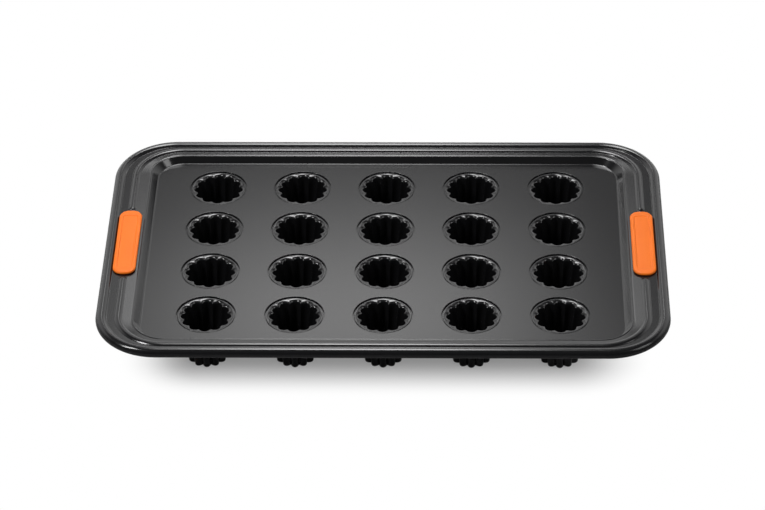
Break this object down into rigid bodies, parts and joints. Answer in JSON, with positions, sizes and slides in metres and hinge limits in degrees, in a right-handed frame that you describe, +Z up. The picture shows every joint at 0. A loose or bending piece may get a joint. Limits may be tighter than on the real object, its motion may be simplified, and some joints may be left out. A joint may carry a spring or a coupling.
{
  "type": "mini canele pan",
  "caption": "Pressed steel baking tray with fluted canele cups folded into its sunk deck, a rolled rim and silicone grips.",
  "frame": {"origin": "under the middle of the pan, on the plane that the cups stand on", "axes": "+X along the long side, +Y to the back, +Z up out of the cups"},
  "size_m": [0.4012, 0.2564, 0.0443],
  "materials": {
    "coated_steel": "satin charcoal non-stick coating on steel sheet",
    "wire_steel": "drawn steel wire, hidden in the rolled edge",
    "orange_silicone": "satin orange silicone"
  },
  "bodies": {
    "root": {"tray": "coated_steel", "rim_wire": "wire_steel", "cup_row1_col1": "coated_steel", "cup_row1_col2": "coated_steel", "cup_row1_col3": "coated_steel", "cup_row1_col4": "coated_steel", "cup_row1_col5": "coated_steel", "cup_row2_col1": "coated_steel", "cup_row2_col2": "coated_steel", "cup_row2_col3": "coated_steel", "cup_row2_col4": "coated_steel", "cup_row2_col5": "coated_steel", "cup_row3_col1": "coated_steel", "cup_row3_col2": "coated_steel", "cup_row3_col3": "coated_steel", "cup_row3_col4": "coated_steel", "cup_row3_col5": "coated_steel", "cup_row4_col1": "coated_steel", "cup_row4_col2": "coated_steel", "cup_row4_col3": "coated_steel", "cup_row4_col4": "coated_steel", "cup_row4_col5": "coated_steel", "left_grip": "orange_silicone", "right_grip": "orange_silicone"}
  },
  "joints": []
}
